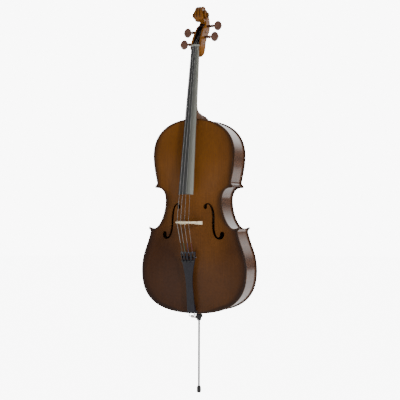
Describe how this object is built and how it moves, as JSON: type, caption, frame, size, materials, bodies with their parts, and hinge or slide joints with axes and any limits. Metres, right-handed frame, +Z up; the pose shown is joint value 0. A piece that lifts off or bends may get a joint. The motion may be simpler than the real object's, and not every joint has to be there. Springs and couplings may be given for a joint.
{
  "type": "cello",
  "caption": "Full-size bowed string instrument with a hollow arched body, scrolled neck, turning pegs, fine tuners in the tailpiece and a sliding endpin.",
  "frame": {"origin": "centre of the sole of the rubber tip on the endpin, where the cello meets the floor", "axes": "+Z up along the endpin, towards the scroll; the front, with strings and bridge, faces -Y; +X is the right of someone looking at the front"},
  "size_m": [0.437, 0.2571, 1.5187],
  "materials": {
    "top_varnish": "satin",
    "maple_varnish": "gloss",
    "head_varnish": "gloss",
    "purfling": "satin",
    "raw_spruce": "matte",
    "ebony": "satin",
    "bridge_maple": "matte",
    "rosewood": "satin",
    "black_composite": "satin",
    "black_cord": "matte",
    "endpin_black": "satin",
    "steel_rod": "satin",
    "rubber": "matte",
    "nickel": "polished",
    "string_steel": "satin",
    "tuner_black": "satin",
    "pin_steel": "satin"
  },
  "bodies": {
    "body": {"back_linings": "raw_spruce", "back_plate": "maple_varnish", "back_purfling": "purfling", "bass_bar": "raw_spruce", "bridge": "bridge_maple", "corner_blocks": "raw_spruce", "end_block": "raw_spruce", "endpin_ferrule": "endpin_black", "endpin_plug": "endpin_black", "fingerboard": "ebony", "lower_left_rib": "maple_varnish", "lower_right_rib": "maple_varnish", "neck": "head_varnish", "neck_block": "raw_spruce", "nut": "ebony", "saddle": "ebony", "sound_post": "raw_spruce", "string_a": "string_steel", "string_c": "string_steel", "string_d": "string_steel", "string_g": "string_steel", "tailgut": "black_cord", "tailpiece": "black_composite", "top_linings": "raw_spruce", "top_plate": "top_varnish", "top_purfling": "purfling", "tuner_pin": "pin_steel", "upper_left_rib": "maple_varnish", "upper_right_rib": "maple_varnish", "waist_left_rib": "maple_varnish", "waist_right_rib": "maple_varnish"},
    "peg_c": {"peg_c": "rosewood", "string_coil_c": "string_steel"},
    "peg_g": {"peg_g": "rosewood", "string_coil_g": "string_steel"},
    "peg_d": {"peg_d": "rosewood", "string_coil_d": "string_steel"},
    "peg_a": {"peg_a": "rosewood", "string_coil_a": "string_steel"},
    "tuner_screw_c": {"tuner_screw_c": "tuner_black"},
    "tuner_lever_c": {"tuner_lever_c": "tuner_black", "string_ball_c": "string_steel"},
    "tuner_screw_g": {"tuner_screw_g": "tuner_black"},
    "tuner_lever_g": {"tuner_lever_g": "tuner_black", "string_ball_g": "string_steel"},
    "tuner_screw_d": {"tuner_screw_d": "tuner_black"},
    "tuner_lever_d": {"tuner_lever_d": "tuner_black", "string_ball_d": "string_steel"},
    "tuner_screw_a": {"tuner_screw_a": "tuner_black"},
    "tuner_lever_a": {"tuner_lever_a": "tuner_black", "string_ball_a": "string_steel"},
    "endpin_rod": {"endpin_rod": "steel_rod"},
    "endpin_tip": {"endpin_tip": "rubber"},
    "endpin_thumbscrew": {"endpin_thumbscrew": "nickel"}
  },
  "joints": [
    {"name": "peg_c_turn", "type": "hinge", "parent": "body", "child": "peg_c", "pos_m": [0, -0.01188, 1.369], "axis": [1, 0, 0], "continuous": true},
    {"name": "peg_g_turn", "type": "hinge", "parent": "body", "child": "peg_g", "pos_m": [0, 0.02362, 1.4216], "axis": [1, 0, 0], "continuous": true},
    {"name": "peg_d_turn", "type": "hinge", "parent": "body", "child": "peg_d", "pos_m": [0, 0.03962, 1.4466], "axis": [1, 0, 0], "continuous": true},
    {"name": "peg_a_turn", "type": "hinge", "parent": "body", "child": "peg_a", "pos_m": [0, 0.00512, 1.398], "axis": [1, 0, 0], "continuous": true},
    {"name": "tuner_screw_c_turn", "type": "hinge", "parent": "body", "child": "tuner_screw_c", "pos_m": [-0.021, -0.11092, 0.52321], "axis": [0, 0.9848, 0.1736], "range_deg": [0, 1440]},
    {"name": "tuner_lever_c_tilt", "type": "hinge", "parent": "body", "child": "tuner_lever_c", "pos_m": [-0.021, -0.10298, 0.53578], "axis": [1, 0, 0], "range_deg": [0, 9.3]},
    {"name": "tuner_screw_g_turn", "type": "hinge", "parent": "body", "child": "tuner_screw_g", "pos_m": [-0.007, -0.11092, 0.52321], "axis": [0, 0.9848, 0.1736], "range_deg": [0, 1440]},
    {"name": "tuner_lever_g_tilt", "type": "hinge", "parent": "body", "child": "tuner_lever_g", "pos_m": [-0.007, -0.10298, 0.53578], "axis": [1, 0, 0], "range_deg": [0, 9.3]},
    {"name": "tuner_screw_d_turn", "type": "hinge", "parent": "body", "child": "tuner_screw_d", "pos_m": [0.007, -0.11092, 0.52321], "axis": [0, 0.9848, 0.1736], "range_deg": [0, 1440]},
    {"name": "tuner_lever_d_tilt", "type": "hinge", "parent": "body", "child": "tuner_lever_d", "pos_m": [0.007, -0.10298, 0.53578], "axis": [1, 0, 0], "range_deg": [0, 9.3]},
    {"name": "tuner_screw_a_turn", "type": "hinge", "parent": "body", "child": "tuner_screw_a", "pos_m": [0.021, -0.11092, 0.52321], "axis": [0, 0.9848, 0.1736], "range_deg": [0, 1440]},
    {"name": "tuner_lever_a_tilt", "type": "hinge", "parent": "body", "child": "tuner_lever_a", "pos_m": [0.021, -0.10298, 0.53578], "axis": [1, 0, 0], "range_deg": [0, 9.3]},
    {"name": "endpin_slide", "type": "slide", "parent": "body", "child": "endpin_rod", "axis": [0, 0, 1], "range_m": [-0.12, 0.256]},
    {"name": "endpin_tip_pull", "type": "slide", "parent": "endpin_rod", "child": "endpin_tip", "axis": [0, 0, -1], "range_m": [0, 0.03]},
    {"name": "endpin_thumbscrew_turn", "type": "hinge", "parent": "body", "child": "endpin_thumbscrew", "pos_m": [0, 0, 0.2888], "axis": [-0.9563, 0, 0.2924], "range_deg": [0, 720]}
  ],
  "couplings": [
    {"joint": "tuner_lever_c_tilt", "follows": "tuner_screw_c_turn", "ratio": 0.0064},
    {"joint": "tuner_lever_g_tilt", "follows": "tuner_screw_g_turn", "ratio": 0.0064},
    {"joint": "tuner_lever_d_tilt", "follows": "tuner_screw_d_turn", "ratio": 0.0064},
    {"joint": "tuner_lever_a_tilt", "follows": "tuner_screw_a_turn", "ratio": 0.0064}
  ]
}
